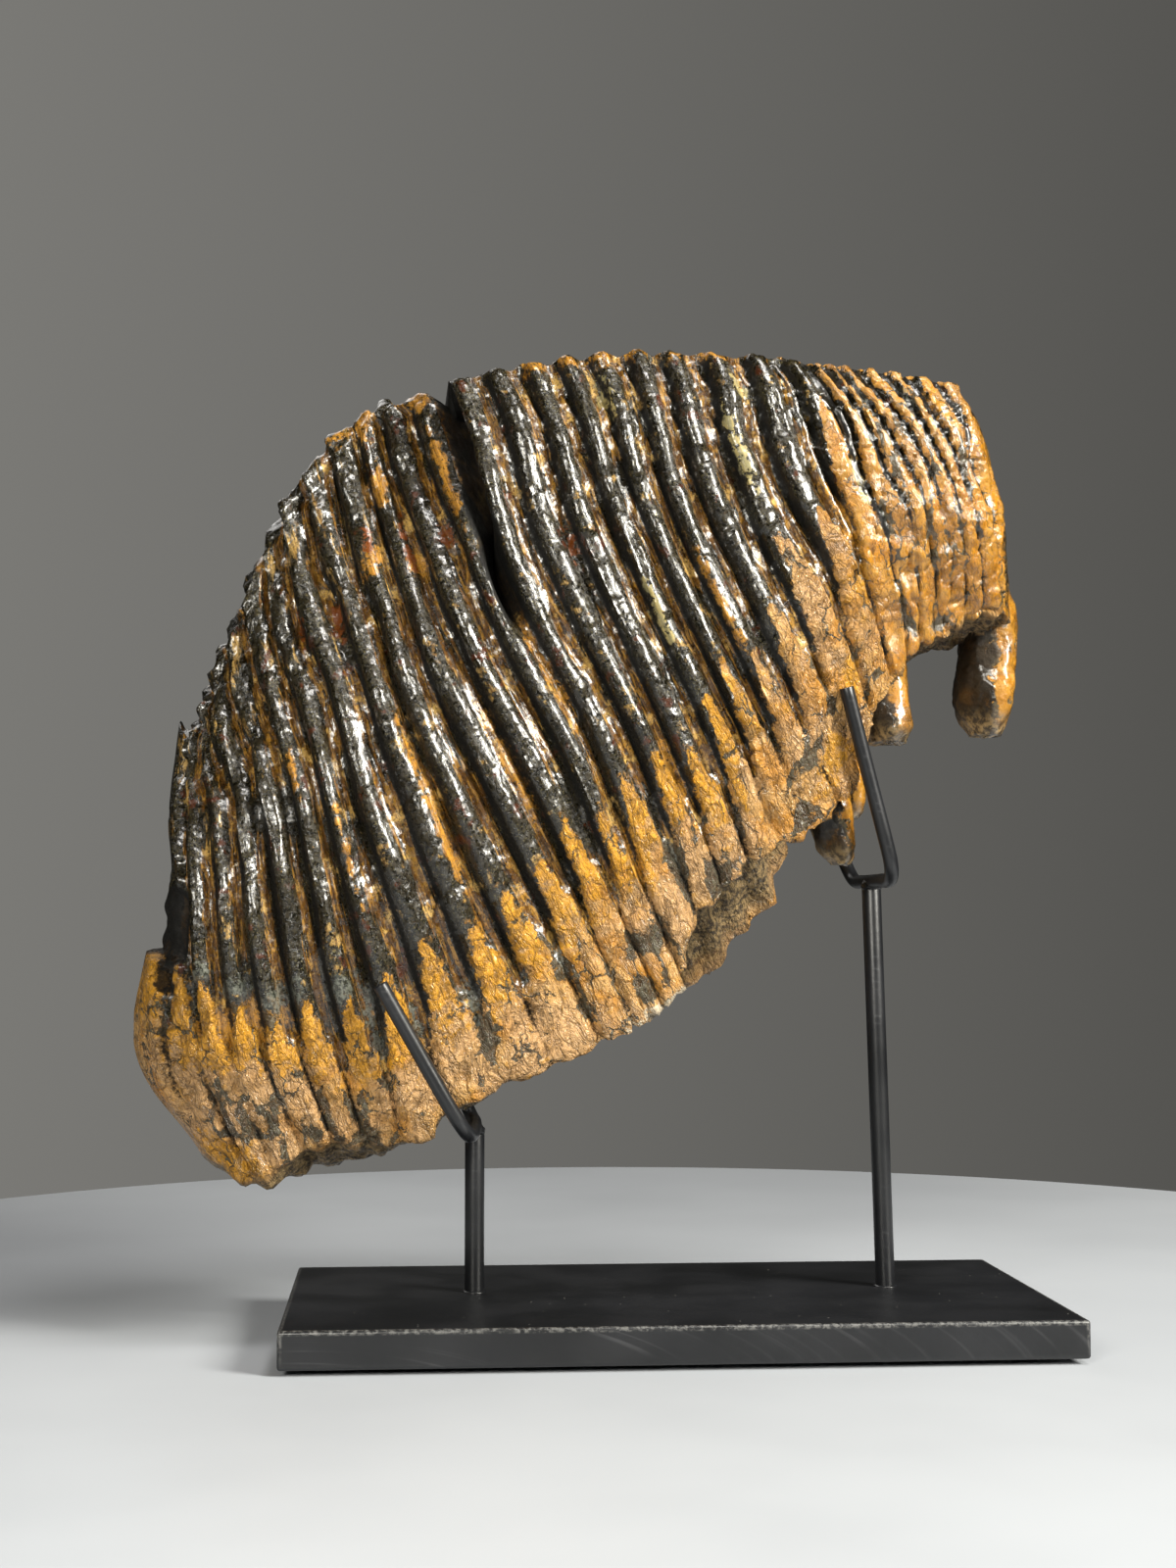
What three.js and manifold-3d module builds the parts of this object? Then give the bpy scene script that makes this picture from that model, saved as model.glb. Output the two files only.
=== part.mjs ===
import * as THREE from 'three';
import { mergeVertices } from 'three/addons/utils/BufferGeometryUtils.js';
import Module from 'manifold-3d';

// Mammoth molar resting in two bent-rod cradles on a flat base plate.
// Millimetres, +X right, +Y to the back, +Z up, floor at z = 0.

// ---- stand ----
const BASE = { width: 210, depth: 110, thick: 10, eased: 0.8 };
const FOOT = { radius: 7, height: 1.5, insetX: 17, insetY: 14 };
const POST_RADIUS = 2.75;
const ROD_RADIUS = 2;
const BASE_TOP = FOOT.height + BASE.thick;
const POST_LEFT = { foot: [-53.5, 4], top: [-53.5, 4, 55.5] };
const POST_RIGHT = { foot: [63.6, 5], top: [60.5, 5, 124.5] };
// centre line of each bent rod, from the cut end of the front arm to the end of the back arm
const CRADLE_LEFT = [
  [-79.7, -38.5, 98.3], [-69, -36, 79.4], [-60.4, -33.8, 64.4], [-57.2, -31.6, 59.5], [-55.6, -26.5, 57.7],
  [-54.2, -10, 57.7], [-53.5, 4, 57.7], [-53.2, 20, 57.7], [-53.6, 32, 58],
  [-55.2, 37.4, 61.2], [-58.5, 39.6, 68], [-66.5, 42.2, 84],
];
const CRADLE_RIGHT = [
  [46.9, -29.6, 179], [53, -27.4, 156.5], [59.4, -24.8, 133.4], [60.4, -23, 129.2], [60.8, -18.8, 126.8],
  [60.7, -8, 126.7], [60.5, 5, 126.7], [60.4, 18, 126.9], [60.1, 27.6, 127.6],
  [59, 32, 131], [56.6, 34.2, 138], [49.5, 37.4, 160],
];

// ---- tooth ----
const DEPTH_MIDDLE = 4;        // the tooth's middle plane lies a little behind the base's
const HALF_WIDTH = 40;         // half the crown's width across the chewing surface
const FIRST_PLATE = -1, LAST_PLATE = 29;
const RINGS_PER_PLATE = 4;
// steps around half a ring: underside from its middle, up the face, over the top to its middle
const UNDER_STEPS = 3, FACE_STEPS = 11, TOP_STEPS = 2;
const HALF_RING = UNDER_STEPS + FACE_STEPS + TOP_STEPS;
const RING = 2 * HALF_RING;
// Guide plates: plate number, then [x, z] at six even stations from the crown tip to the root edge
const GUIDES = [
  [-1, [-137, 169], [-139, 147], [-138, 126], [-144, 103], [-146, 79], [-131, 53]],
  [1, [-133, 167], [-134, 144], [-132, 121], [-131, 97], [-127, 73], [-115, 48]],
  [3, [-124, 190], [-119, 159], [-114, 132], [-110, 105], [-104, 77], [-94, 52]],
  [6, [-108, 228], [-103, 190], [-94, 156], [-85, 123], [-75, 90], [-67, 59]],
  [9, [-89, 251], [-80, 213], [-70, 180], [-56, 148], [-40, 117], [-24, 86]],
  [12, [-70, 260], [-58, 224], [-45, 193], [-28, 162], [-14, 130], [0, 99]],
  [15, [-42, 267], [-29, 238], [-17, 209], [-4, 180], [10, 151], [22, 122]],
  [18, [-13, 271], [-3, 245], [7, 219], [20, 193], [33, 168], [45, 144]],
  [21, [19, 271], [27, 254], [35, 235], [44, 217], [53, 199], [59, 180]],
  [24, [49, 268], [57, 254], [63, 239], [67, 224], [70, 208], [72, 193]],
  [27, [77.3, 265], [82, 252], [85, 238], [88, 225], [90.3, 211], [92, 198]],
  [29, [85, 266], [91, 255], [95, 242], [97.3, 229], [98.8, 215], [99.5, 203]],
];
// how much further than v = 1 the root edge reaches down on the front and on the back: [plate number, share]
const FRONT_EDGE = [
  [-1, 0], [0.2, 0.026], [1.7, 0.026], [2.5, -0.02], [4.2, -0.02], [5.3, 0.012], [6.1, 0], [7.2, -0.004], [8.4, 0.036],
  [12, 0.036], [12.9, -0.03], [16, -0.03], [17.5, 0], [24.4, 0], [25.2, -0.035], [26.3, -0.06], [27, -0.055], [28, 0],
];
const BACK_EDGE = [
  [-1, 0], [4.8, 0], [6.4, 0.027], [7.6, 0.027], [8.6, 0.02], [11.8, 0.02], [13.2, 0.08], [16, 0.08], [17.5, 0],
  [24.4, 0], [26.3, -0.06], [27, -0.055], [28, 0],
];
const CRACK = { plate: 12.5, depth: 9, endsAt: 0.42 };
// root stubs fused to the body: centre line from inside the body to the tip, with width and depth there
const ROOTS = [
  { name: 'prong', line: [[93.5, 8, 226], [95.2, 8, 205], [95.2, 8, 190], [95.2, 8, 177], [95.2, 8, 169.3]],
    half: [[6, 9], [8.2, 12], [8.1, 12], [7.8, 11], [4.6, 6]] },
  { name: 'stub', line: [[55, -8, 205], [58.5, -10, 190], [60, -10, 177], [61.5, -10, 169], [62, -10, 165.5]],
    half: [[6, 10], [8, 13], [7.5, 13], [7.8, 12.5], [5.5, 9]] },
  { name: 'lobe', line: [[36, -8, 172], [41, -10, 158], [45, -11, 145], [47.5, -12, 135], [48.5, -12, 131]],
    half: [[7, 10], [7.5, 12], [6.5, 10], [5, 8], [2.5, 4]] },
  { name: 'back_lobe', line: [[48, 22, 178], [54, 24, 165], [57, 25, 155], [58, 25, 149], [58, 25, 146]],
    half: [[6, 9], [6.5, 10], [5.5, 9], [4.5, 7], [2.5, 4]] },
];

const clamp = (t, lo, hi) => Math.min(hi, Math.max(lo, t));
const smooth = (a, b, t) => { const s = clamp((t - a) / (b - a), 0, 1); return s * s * (3 - 2 * s); };
const hump = (a, b, c, d, t) => smooth(a, b, t) * (1 - smooth(c, d, t));

// smooth curve through values at uneven stations, carried on straight past its ends
function through(ts, vs, t) {
  const n = ts.length;
  const slope = (k) => {
    const i = Math.max(0, k - 1), j = Math.min(n - 1, k + 1);
    return (vs[j] - vs[i]) / (ts[j] - ts[i]);
  };
  if (t <= ts[0]) return vs[0] + slope(0) * (t - ts[0]);
  if (t >= ts[n - 1]) return vs[n - 1] + slope(n - 1) * (t - ts[n - 1]);
  let i = 1;
  while (t > ts[i]) i++;
  const h = ts[i] - ts[i - 1], s = (t - ts[i - 1]) / h;
  const a = slope(i - 1) * h, b = slope(i) * h;
  return vs[i - 1] * (1 + 2 * s) * (1 - s) ** 2 + a * s * (1 - s) ** 2
    + vs[i] * s * s * (3 - 2 * s) - b * s * s * (1 - s);
}

// side view of the tooth: where plate number u lies at v, from 0 at the crown to 1 at the root edge
const PLATES = GUIDES.map((g) => g[0]);
const STATIONS = [0, 0.2, 0.4, 0.6, 0.8, 1];
function sideView(plate, v) {
  // the unworn tips at the left stand as separate steps
  const stepped = 0.11 * (1 - smooth(11, 13, plate)) * (1 - smooth(0.02, 0.3, v));
  const u = plate - stepped * Math.sin(2 * Math.PI * plate);
  const at = (axis) => through(PLATES, GUIDES.map((g) => through(STATIONS, g.slice(1).map((p) => p[axis]), v)), u);
  return [at(0), at(1)];
}

// half the tooth's width at plate u and station v
function halfWidth(u, v) {
  const leftEnd = clamp((3.2 - u) / 4.2, 0, 1), rightEnd = clamp((u - 25) / 4, 0, 1);
  const ends = Math.max((1 - leftEnd ** 2.4) ** 0.5 * (1 - rightEnd ** 2.2) ** 0.5, 0.07);
  const unworn = 1 - smooth(10, 14, u);
  const crown = 1 - (0.12 + 0.4 * unworn) * (1 - smooth(0, 0.15 + 0.3 * unworn, v)) ;
  const root = 1 - 0.28 * smooth(0.55, 1, v);
  return HALF_WIDTH * ends * crown * root;
}

// one point of the plain body at plate u, step k around the ring; k and RING - k face each other
function bodyPoint(u, k) {
  const side = k <= HALF_RING ? -1 : 1, step = k <= HALF_RING ? k : RING - k;
  const edge = side < 0 ? FRONT_EDGE : BACK_EDGE;
  const end = 1 + through(edge.map((e) => e[0]), edge.map((e) => e[1]), Math.min(u, 28));
  let v, y, part;
  if (step < UNDER_STEPS) {
    part = 'under';
    const t = step / UNDER_STEPS;
    const hollow = 0.09 * hump(7, 9.5, 17, 20, u) - 0.03 * (1 - smooth(4, 6, u));
    v = 1 + (end - 1) * t - hollow * (1 - t ** 3);
    y = t * halfWidth(u, 1);
  } else if (step <= UNDER_STEPS + FACE_STEPS) {
    part = 'face';
    v = end * (1 - (step - UNDER_STEPS) / FACE_STEPS);
    y = halfWidth(u, v);
  } else {
    part = 'top';
    const t = (HALF_RING - step) / TOP_STEPS;
    v = -(0.004 + 0.02 * (1 - smooth(10, 14, u))) * (1 - t ** 4);
    y = t * halfWidth(u, 0);
  }
  const [x, z] = sideView(u, v);
  return { p: new THREE.Vector3(x, DEPTH_MIDDLE + side * y, z), v, y: side * y, part };
}

// how far the surface stands out: plates stand proud, cement lies in the grooves between them
function relief(u, { v, y, part }) {
  const plate = 0.5 + 0.5 * Math.cos(2 * Math.PI * u);
  const height = { top: 1.6, under: 1.4, face: 3.4 - 1.4 * smooth(0.7, 0.85, v) }[part];
  const fade = (1 - 0.5 * smooth(23, 26, u)) * hump(-1, 1, 27.5, 29, u);
  let out = height * fade * (plate ** 0.7 - 0.65);
  out += 0.5 * Math.sin(2.3 * u + 11 * v) * Math.sin(9 * v - 0.7 * u);
  // the thick rim of root that curls round the lower left end, with a pocket between it and the plates
  out += 2 * hump(0.555, 0.6, 0.85, 1, v) * (1 - smooth(-0.6, 1.2, u));
  out -= 3 * hump(-0.5, -0.1, 0.3, 0.6, u) * hump(0.42, 0.5, 0.6, 0.68, v);
  const inCrack = 1 - smooth(0.1, 0.3, Math.abs(u - CRACK.plate));
  if (part !== 'under' && y < HALF_WIDTH * 0.5) {
    out -= CRACK.depth * inCrack * (1 - smooth(CRACK.endsAt - 0.1, CRACK.endsAt, v));
  }
  return out;
}

function toothBody() {
  const rings = (LAST_PLATE - FIRST_PLATE) * RINGS_PER_PLATE + 1;
  const position = [], index = [];
  for (let r = 0; r < rings; r++) {
    const u = FIRST_PLATE + r / RINGS_PER_PLATE;
    for (let k = 0; k < RING; k++) {
      const here = bodyPoint(u, k);
      const along = bodyPoint(Math.min(u + 0.3, LAST_PLATE), k).p
        .sub(bodyPoint(Math.max(u - 0.3, FIRST_PLATE), k).p);
      const across = bodyPoint(u, (k + 1) % RING).p.sub(bodyPoint(u, (k + RING - 1) % RING).p);
      const out = new THREE.Vector3().crossVectors(along, across).normalize();
      here.p.addScaledVector(out, relief(u, here));
      position.push(here.p.x, here.p.y, here.p.z);
    }
  }
  for (let r = 0; r < rings - 1; r++) {
    for (let k = 0; k < RING; k++) {
      const a = r * RING + k, b = r * RING + (k + 1) % RING;
      index.push(a, a + RING, b, b, a + RING, b + RING);
    }
  }
  // close each thin end by joining its front edge to its back edge
  const last = (rings - 1) * RING;
  for (let k = 0; k < HALF_RING; k++) {
    const a = k, b = k + 1, c = RING - k - 1, d = (RING - k) % RING;
    if (b !== c) index.push(a, b, c, last + a, last + c, last + b);
    if (a !== d) index.push(a, c, d, last + a, last + d, last + c);
  }
  const body = new THREE.BufferGeometry();
  body.setAttribute('position', new THREE.Float32BufferAttribute(position, 3));
  body.setIndex(index);
  return body;
}

// a root: a round post pulled along its centre line, wider and narrower as its table says
function rootShape({ line, half }) {
  const sides = 10, stations = 8;
  const root = new THREE.CylinderGeometry(1, 1, 1, sides, stations);
  const spine = new THREE.CatmullRomCurve3(line.map((p) => new THREE.Vector3(...p)));
  const at = root.attributes.position;
  const steps = half.map((_, i) => i / (half.length - 1));
  for (let i = 0; i < at.count; i++) {
    const t = 0.5 - at.getY(i);
    const lump = 1 + 0.1 * Math.sin(7 * t + 3 * Math.atan2(at.getZ(i), at.getX(i)));
    const centre = spine.getPoint(t);
    at.setXYZ(i, centre.x + lump * at.getX(i) * through(steps, half.map((h) => h[0]), t),
      centre.y - lump * at.getZ(i) * through(steps, half.map((h) => h[1]), t), centre.z);
  }
  return root;
}

// ---- joining ----
const wasm = await Module();
wasm.setup();
function toSolid(geometry) {
  const g = geometry.clone();
  g.deleteAttribute('normal');
  g.deleteAttribute('uv');
  const merged = mergeVertices(g, 1e-4);
  return new wasm.Manifold(new wasm.Mesh({
    numProp: 3,
    vertProperties: new Float32Array(merged.attributes.position.array),
    triVerts: new Uint32Array(merged.index.array),
  }));
}
function toGeometry(solid) {
  const mesh = solid.getMesh();
  const geometry = new THREE.BufferGeometry();
  geometry.setAttribute('position', new THREE.Float32BufferAttribute(mesh.vertProperties, 3));
  geometry.setIndex(Array.from(mesh.triVerts));
  return geometry;
}

// ---- materials ----
const fossil = new THREE.MeshStandardMaterial({ color: '#7a5a2c', roughness: 0.35, metalness: 0 });
const blackSteel = new THREE.MeshStandardMaterial({ color: '#1d1e20', roughness: 0.5, metalness: 0.4 });
const rubber = new THREE.MeshStandardMaterial({ color: '#111112', roughness: 0.8, metalness: 0 });

const group = new THREE.Group();
function add(name, geometry, material, place = [0, 0, 0]) {
  const mesh = new THREE.Mesh(geometry, material);
  mesh.name = name;
  mesh.position.set(...place);
  group.add(mesh);
}

let tooth = toSolid(toothBody());
for (const root of ROOTS) tooth = tooth.add(toSolid(rootShape(root)));
add('tooth', toGeometry(tooth.simplify(0.05)), fossil);

// ---- base plate and feet ----
const w = BASE.width / 2, d = BASE.depth / 2, e = BASE.eased;
const plan = new THREE.Shape([[-w + e, -d + e], [w - e, -d + e], [w - e, d - e], [-w + e, d - e]]
  .map(([x, y]) => new THREE.Vector2(x, y)));
const base = new THREE.ExtrudeGeometry(plan, {
  depth: BASE.thick - 2 * e, bevelEnabled: true, bevelThickness: e, bevelSize: e, bevelSegments: 2,
});
add('base_plate', base, blackSteel, [0, 0, FOOT.height + e]);
for (const [name, sx, sy] of [['front_left', -1, -1], ['front_right', 1, -1], ['back_left', -1, 1], ['back_right', 1, 1]]) {
  const foot = new THREE.CylinderGeometry(FOOT.radius, FOOT.radius, FOOT.height, 24).rotateX(Math.PI / 2);
  add(`foot_${name}`, foot, rubber, [sx * (w - FOOT.insetX), sy * (d - FOOT.insetY), FOOT.height / 2]);
}

// ---- posts: flat foot on the base, top leaned over by moving it sideways ----
function post({ foot, top }) {
  const height = top[2] - BASE_TOP;
  const shape = new THREE.CylinderGeometry(POST_RADIUS, POST_RADIUS, height, 20).rotateX(Math.PI / 2);
  const at = shape.attributes.position;
  for (let i = 0; i < at.count; i++) {
    const t = at.getZ(i) / height + 0.5;
    at.setX(i, at.getX(i) + foot[0] + (top[0] - foot[0]) * t);
    at.setY(i, at.getY(i) + foot[1] + (top[1] - foot[1]) * t);
    at.setZ(i, BASE_TOP + height * t);
  }
  return shape;
}
add('post_left', post(POST_LEFT), blackSteel);
add('post_right', post(POST_RIGHT), blackSteel);

// ---- cradles: a round rod bent along its centre line, with more rings where the points are closer ----
function bentRod(points) {
  const line = new THREE.CatmullRomCurve3(points.map((p) => new THREE.Vector3(...p)), false, 'centripetal');
  line.getUtoTmapping = (u) => u;
  const section = new THREE.Shape();
  section.absarc(0, 0, ROD_RADIUS, 0, 2 * Math.PI);
  return new THREE.ExtrudeGeometry(section, {
    steps: 2 * (points.length - 1), extrudePath: line, curveSegments: 5,
  });
}
add('cradle_left', bentRod(CRADLE_LEFT), blackSteel);
add('cradle_right', bentRod(CRADLE_RIGHT), blackSteel);

// ---- origin under the middle of the whole object, on the floor ----
const box = new THREE.Box3().setFromObject(group);
const middle = box.getCenter(new THREE.Vector3());
group.position.set(-middle.x, -middle.y, -box.min.z);
export default group;
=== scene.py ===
"""Fossil mammoth molar resting in two bent-rod cradles on a flat black base.

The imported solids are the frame: sizes and places come from it, and every piece here stands for one of its
nodes or sits between them. Metres, +X right, +Y to the back, +Z up, floor at z = 0.
"""
import math

import bpy
import numpy as np
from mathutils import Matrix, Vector, noise
from mathutils.kdtree import KDTree


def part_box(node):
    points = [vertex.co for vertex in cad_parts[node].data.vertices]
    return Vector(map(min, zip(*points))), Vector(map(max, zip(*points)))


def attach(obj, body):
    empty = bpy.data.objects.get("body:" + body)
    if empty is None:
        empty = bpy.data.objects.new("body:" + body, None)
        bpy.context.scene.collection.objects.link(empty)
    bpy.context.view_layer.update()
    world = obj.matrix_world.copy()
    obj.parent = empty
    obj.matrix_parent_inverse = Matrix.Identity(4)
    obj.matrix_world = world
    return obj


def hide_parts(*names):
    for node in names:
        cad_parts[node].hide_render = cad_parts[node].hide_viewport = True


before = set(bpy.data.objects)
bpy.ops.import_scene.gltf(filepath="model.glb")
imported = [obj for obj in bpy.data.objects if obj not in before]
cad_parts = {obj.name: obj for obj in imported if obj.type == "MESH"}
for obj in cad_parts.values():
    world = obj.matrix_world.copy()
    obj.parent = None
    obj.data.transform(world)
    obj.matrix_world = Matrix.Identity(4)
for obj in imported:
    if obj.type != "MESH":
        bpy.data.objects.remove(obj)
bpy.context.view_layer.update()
MM = 0.001


# ---------------- small helpers
def mode(name):
    bpy.ops.object.mode_set(mode=name)


def nothing_selected():
    if bpy.context.object and bpy.context.object.mode != "OBJECT":
        mode("OBJECT")
    bpy.ops.object.select_all(action="DESELECT")


def only(piece):
    """Selects this piece alone and makes it the active one."""
    nothing_selected()
    piece.select_set(True)
    bpy.context.view_layer.objects.active = piece


def apply_modifier(piece, kind, **settings):
    only(piece)
    modifier = piece.modifiers.new(kind.title(), kind)
    for name, value in settings.items():
        setattr(modifier, name, value)
    bpy.ops.object.modifier_apply(modifier=modifier.name)


def ease_edges(piece, width, segments, sharper_than=40):
    """Rounds the edges that turn by more than so many degrees, over a width in millimetres."""
    apply_modifier(piece, "BEVEL", width=width * MM, segments=segments, limit_method="ANGLE",
                   angle_limit=math.radians(sharper_than))


def place_in_mesh(piece):
    """Moves the piece's place, turn and size into its mesh, so that its object sits at the origin."""
    only(piece)
    bpy.ops.object.transform_apply(location=True, rotation=True, scale=True)


def cylinder(middle, radius, height, vertices=48, scale=(1, 1, 1)):
    """A new upright cylinder in metres, scaled about its middle."""
    nothing_selected()
    bpy.ops.mesh.primitive_cylinder_add(vertices=vertices, radius=radius, depth=height, location=middle)
    piece = bpy.context.object
    piece.scale = scale
    place_in_mesh(piece)
    return piece


def smooth_shaded(piece, degrees=35):
    only(piece)
    bpy.ops.object.shade_smooth_by_angle(angle=math.radians(degrees))


def pick_faces(piece, wanted):
    """In edit mode, selects the faces whose normal wanted accepts."""
    mode("OBJECT")
    mesh = piece.data
    for group in (mesh.vertices, mesh.edges, mesh.polygons):
        group.foreach_set("select", [False] * len(group))
    for face in mesh.polygons:
        face.select = wanted(face.normal)
    mode("EDIT")
    bpy.ops.mesh.select_mode(type="FACE")


def turn_faces_outwards(piece, join_within=None):
    """Joins points that lie closer than join_within, then turns every face outwards."""
    only(piece)
    mode("EDIT")
    bpy.ops.mesh.select_all(action="SELECT")
    if join_within:
        bpy.ops.mesh.remove_doubles(threshold=join_within)
    bpy.ops.mesh.normals_make_consistent(inside=False)
    mode("OBJECT")


def finished(piece, name, material, node=None):
    """Names the piece, gives it its finish, hangs it under the root body and hides the imported part it
    stands for.
    """
    piece.name = name
    piece.data.name = name
    piece.data.materials.clear()
    piece.data.materials.append(material)
    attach(piece, "root")
    if node:
        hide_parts(node)


# ---------------- node helpers for the finishes
def paint(hex_colour):
    """A colour written as on a paint card, as linear light with full cover."""
    channels = [int(hex_colour[i:i + 2], 16) / 255 for i in (1, 3, 5)]
    return [c / 12.92 if c < 0.04045 else ((c + 0.055) / 1.055) ** 2.4 for c in channels] + [1.0]


class Nodes:
    """A node tree under construction: each method adds one node or a few and gives back the last output."""

    def __init__(self, owner):
        owner.use_nodes = True
        self.tree = owner.node_tree
        self.tree.nodes.clear()

    def feed(self, socket, value):
        """Links an output to the socket, or sets its value; a text is a paint-card colour."""
        if isinstance(value, bpy.types.NodeSocket):
            self.tree.links.new(value, socket)
        elif isinstance(value, str):
            socket.default_value = paint(value)
        elif value is not None:
            socket.default_value = value

    def add(self, kind, out=0, settings=None, **inputs):
        """Inputs go by name, with _ for each space, or by number as in0, in1 and so on."""
        node = self.tree.nodes.new(kind)
        for name, value in (settings or {}).items():
            setattr(node, name, value)
        for name, value in inputs.items():
            key = int(name[2:]) if name.startswith("in") else name.replace("_", " ")
            self.feed(node.inputs[key], value)
        return node.outputs[out] if node.outputs else None

    def place(self):
        return self.add("ShaderNodeTexCoord", out="Object")

    def attribute(self, name):
        return self.add("ShaderNodeAttribute", out="Vector", settings={"attribute_name": name})

    def split(self, vector):
        node = self.tree.nodes.new("ShaderNodeSeparateXYZ")
        self.feed(node.inputs[0], vector)
        return node.outputs

    def join(self, x=0.0, y=0.0, z=0.0):
        return self.add("ShaderNodeCombineXYZ", in0=x, in1=y, in2=z)

    def math(self, operation, a, b=0.0, clamp=False):
        return self.add("ShaderNodeMath", settings={"operation": operation, "use_clamp": clamp}, in0=a, in1=b)

    def times(self, a, *others):
        for b in others:
            a = self.math("MULTIPLY", a, b)
        return a

    def plus(self, a, b):
        return self.math("ADD", a, b)

    def most(self, a, b):
        return self.math("MAXIMUM", a, b)

    def stretch(self, vector, x, y, z):
        return self.add("ShaderNodeVectorMath", settings={"operation": "MULTIPLY"}, in0=vector, in1=(x, y, z))

    def moved(self, vector, by):
        return self.add("ShaderNodeVectorMath", settings={"operation": "ADD"}, in0=vector, in1=by)

    def noise(self, vector, scale, detail=2.0, rough=0.5, distort=0.0, out=0):
        return self.add("ShaderNodeTexNoise", out=out, Vector=vector, Scale=scale, Detail=detail,
                        Roughness=rough, Distortion=distort)

    def cells(self, vector, scale, feature="F1", out="Distance"):
        return self.add("ShaderNodeTexVoronoi", out=out, settings={"feature": feature},
                        Vector=vector, Scale=scale)

    def between(self, value, low, high, first=0.0, last=1.0):
        """Maps value from low..high to first..last, smoothly and held at the ends."""
        return self.add("ShaderNodeMapRange", settings={"interpolation_type": "SMOOTHSTEP"},
                        in0=value, in1=low, in2=high, in3=first, in4=last)

    def from_middle(self, noise_value, low, high):
        """As between, for how far the noise is from its middle: its level lines become ridges or furrows."""
        return self.between(self.math("ABSOLUTE", self.math("SUBTRACT", noise_value, 0.5)), low, high)

    def mix(self, share, a, b):
        """The colour a, turning to b as share goes from 0 to 1."""
        return self.add("ShaderNodeMix", out=2, settings={"data_type": "RGBA"}, in0=share, in6=a, in7=b)

    def blend(self, value, a, b, low=0.4, high=0.6):
        """The colour a where value is under low, b where it is over high, and between them a mix."""
        return self.mix(self.between(value, low, high), a, b)

    def bump(self, height, depth):
        """A normal for a surface raised by height times depth, in metres."""
        return self.add("ShaderNodeBump", Distance=depth, Height=height, Strength=1.0)


class Finish(Nodes):
    """A material built on one Principled shader."""

    def __init__(self, name):
        self.material = bpy.data.materials.new(name)
        super().__init__(self.material)
        self.shader = self.tree.nodes.new("ShaderNodeBsdfPrincipled")
        self.add("ShaderNodeOutputMaterial", Surface=self.shader.outputs[0])

    def set(self, **values):
        for name, value in values.items():
            self.feed(self.shader.inputs[name.replace("_", " ")], value)


# ---------------- finishes of the stand
def satin_black_paint():
    """Powder-coated steel: satin black with a fine orange peel, pale wear on the edges and a little dust."""
    f = Finish("satin_black_paint")
    place = f.place()
    cloud = f.noise(place, 28, detail=3)
    facing = f.split(f.add("ShaderNodeNewGeometry", out="Normal"))
    colour = f.blend(cloud, "#131416", "#1b1c1f", 0.35, 0.7)
    # dust lies on what faces up, as sparse pale specks
    specks_per_metre = 420
    speck = f.cells(place, specks_per_metre)
    chosen = f.split(f.cells(place, specks_per_metre, out="Color"))[0]
    dust = f.times(f.between(speck, 0.11, 0.06), f.between(chosen, 0.9, 0.92),
                   f.between(facing[2], 0.7, 0.95))
    colour = f.mix(f.times(dust, 0.55), colour, "#b9b7b0")
    # the coat is rubbed thin along the edges, in broken flecks
    worn = f.times(f.split(f.attribute("edge_wear"))[0],
                   f.between(f.noise(place, 900, detail=4, rough=0.7), 0.44, 0.6))
    colour = f.mix(f.times(worn, 0.45), colour, "#7c7b78")
    # long rubbed arcs on the front of the plate
    from_left_end = f.add("ShaderNodeVectorMath", out="Value", settings={"operation": "LENGTH"},
                          in0=f.moved(f.stretch(place, 0.25, 0, 1), (0.02, 0, 0.006)))
    arcs = f.noise(f.join(f.times(from_left_end, 900), 0, 0), 1, detail=3)
    front = f.between(facing[1], -0.9, -0.99)
    arcs = f.times(f.between(arcs, 0.52, 0.7, 0, 0.16), f.times(front, f.between(cloud, 0.4, 0.6)))
    f.set(Base_Color=f.mix(arcs, colour, "#77777a"), Metallic=0.0)
    f.set(Roughness=f.between(f.noise(place, 60, detail=4), 0.3, 0.7, 0.3, 0.4))
    f.shader.inputs["Specular IOR Level"].default_value = 0.5
    f.set(Normal=f.bump(f.noise(place, 600, detail=1), 0.00003))
    return f.material


def black_rubber():
    f = Finish("black_rubber")
    grain = f.noise(f.place(), 2600, detail=3, rough=0.7)
    f.set(Base_Color=f.blend(grain, "#0e0e0f", "#1c1c1d", 0.35, 0.7))
    f.set(Roughness=f.between(grain, 0.3, 0.7, 0.7, 0.9), Normal=f.bump(grain, 0.00006))
    return f.material


# ---------------- the stand
STEEL = satin_black_paint()
RUBBER = black_rubber()
base_low, base_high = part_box("base_plate")
BASE_MIDDLE = (base_low + base_high) / 2
BASE_SIZE = base_high - base_low


def from_base(x, y, z):
    """A point given in millimetres from the middle of the base plate and the floor."""
    return Vector((BASE_MIDDLE.x + x * MM, BASE_MIDDLE.y + y * MM, z * MM))


def upright_rod(foot, top, radius):
    """A round post: a cylinder set on the plate and leaned by moving its top ring, with its rims eased."""
    rod = cylinder((foot.x, foot.y, (foot.z + top.z) / 2), radius, top.z - foot.z)
    pick_faces(rod, lambda normal: normal.z > 0.9)
    bpy.ops.transform.translate(value=(top.x - foot.x, top.y - foot.y, 0))
    mode("OBJECT")
    ease_edges(rod, 0.25, 3)
    smooth_shaded(rod)
    return rod


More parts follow.
